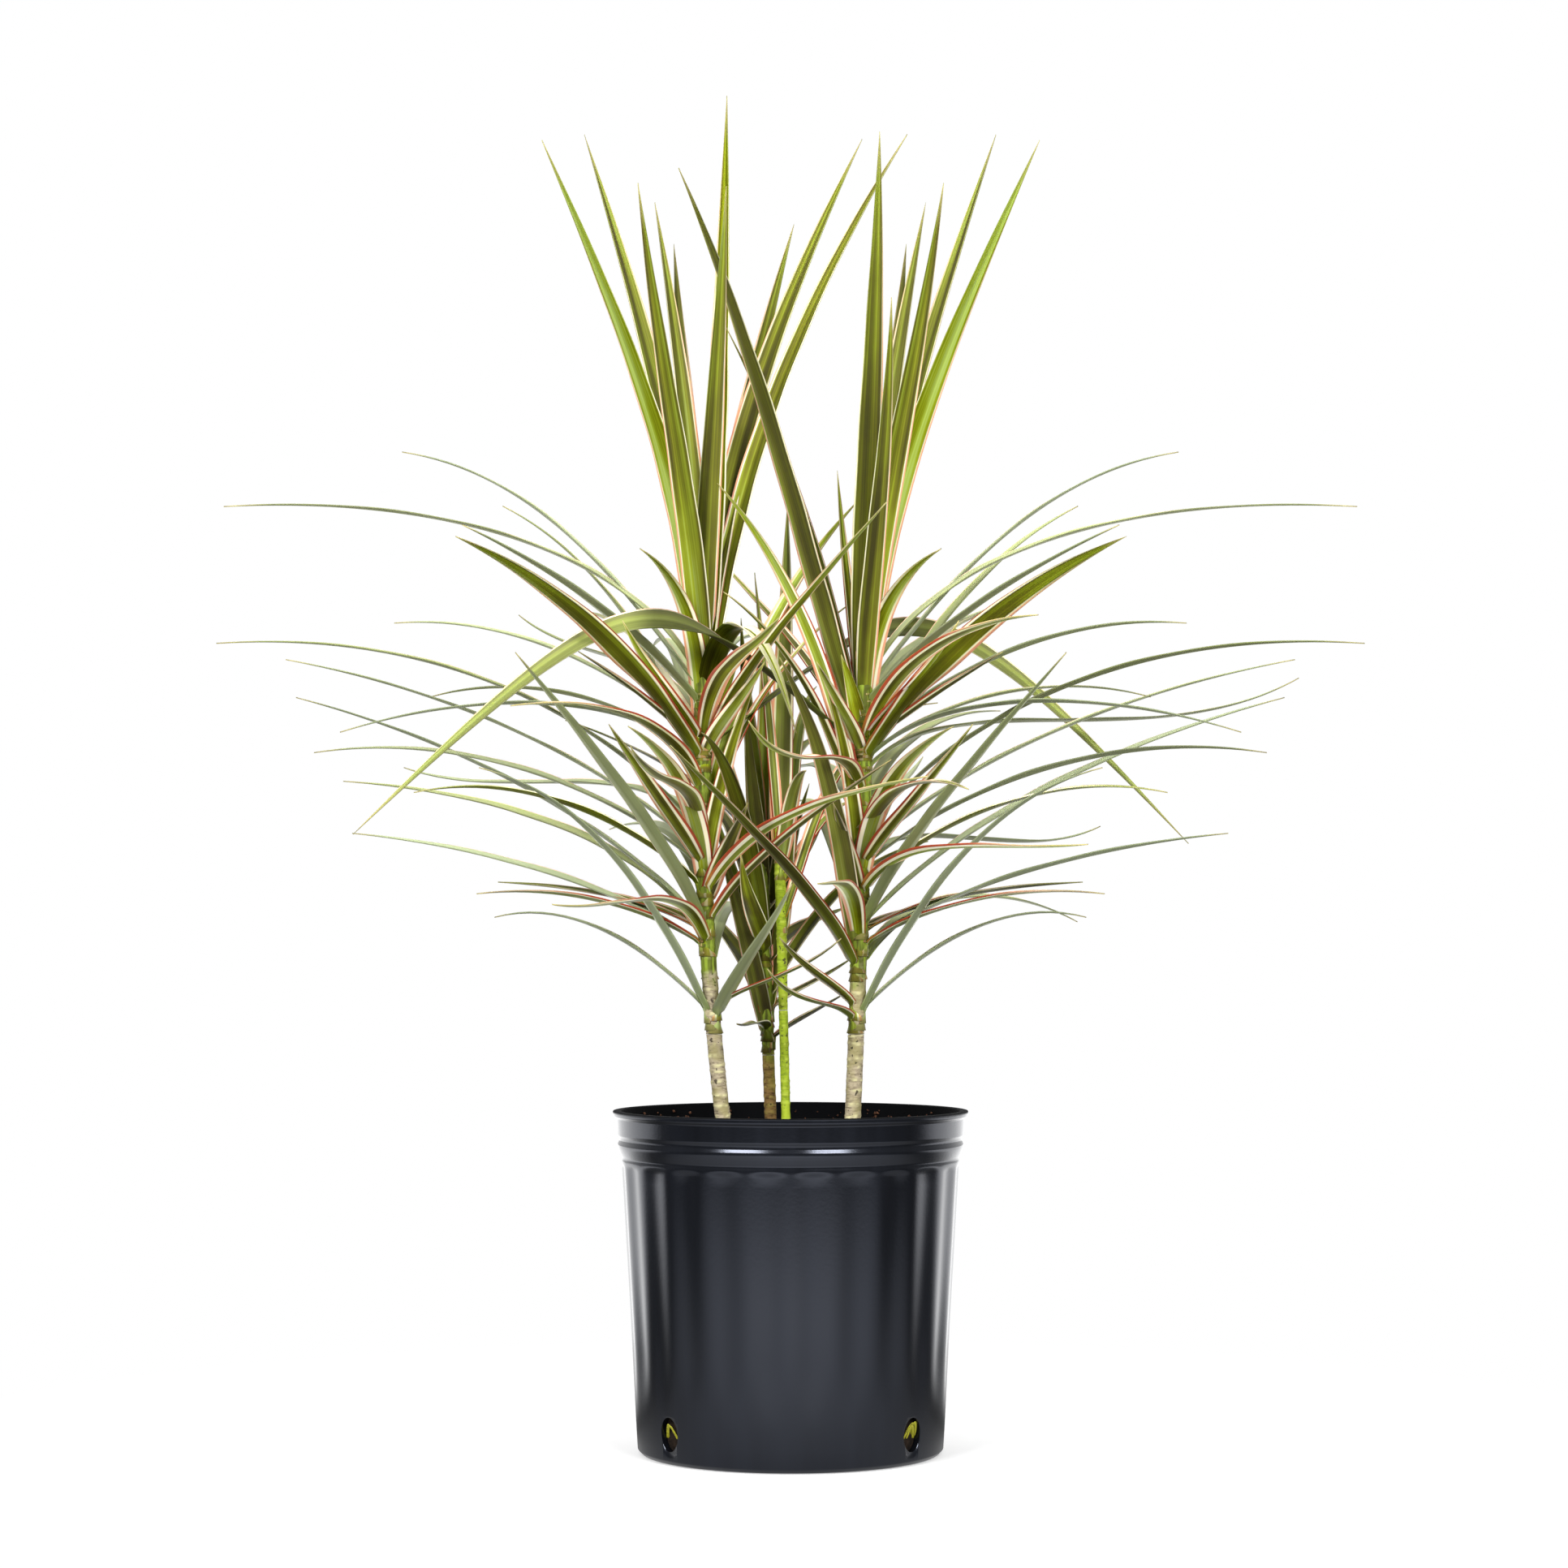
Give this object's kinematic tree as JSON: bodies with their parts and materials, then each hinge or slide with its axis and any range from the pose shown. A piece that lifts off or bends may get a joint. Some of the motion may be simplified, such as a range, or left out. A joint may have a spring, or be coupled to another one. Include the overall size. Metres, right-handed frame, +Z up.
{
  "type": "potted bicolor madagascar dragon tree",
  "caption": "Bicolor Madagascar dragon tree with tall leafy canes of narrow arching leaves, standing in a black plastic nursery pot.",
  "frame": {"origin": "middle of the pot's base, on the surface it stands on", "axes": "+Z up along the pot, the front of the plant towards -Y, +X to the right seen from the front"},
  "size_m": [0.816, 0.589, 0.976],
  "materials": {
    "pot": "black moulded polyethylene, satin gloss",
    "soil": "dark potting mix of composted bark and peat with perlite",
    "bark": "beige-grey cane bark with ring scars",
    "brown_bark": "brown young cane bark",
    "green_stem": "smooth lime-green young stem",
    "leaf": "smooth green blade with cream stripe and red margin"
  },
  "bodies": {
    "root": {"pot": "pot", "soil": "soil", "cane_left": "bark", "cane_right": "bark", "cane_middle": "brown_bark", "shoot_green": "green_stem", "foliage_left": "leaf", "foliage_right": "leaf", "foliage_middle": "leaf", "foliage_shoot": "leaf"}
  },
  "joints": []
}
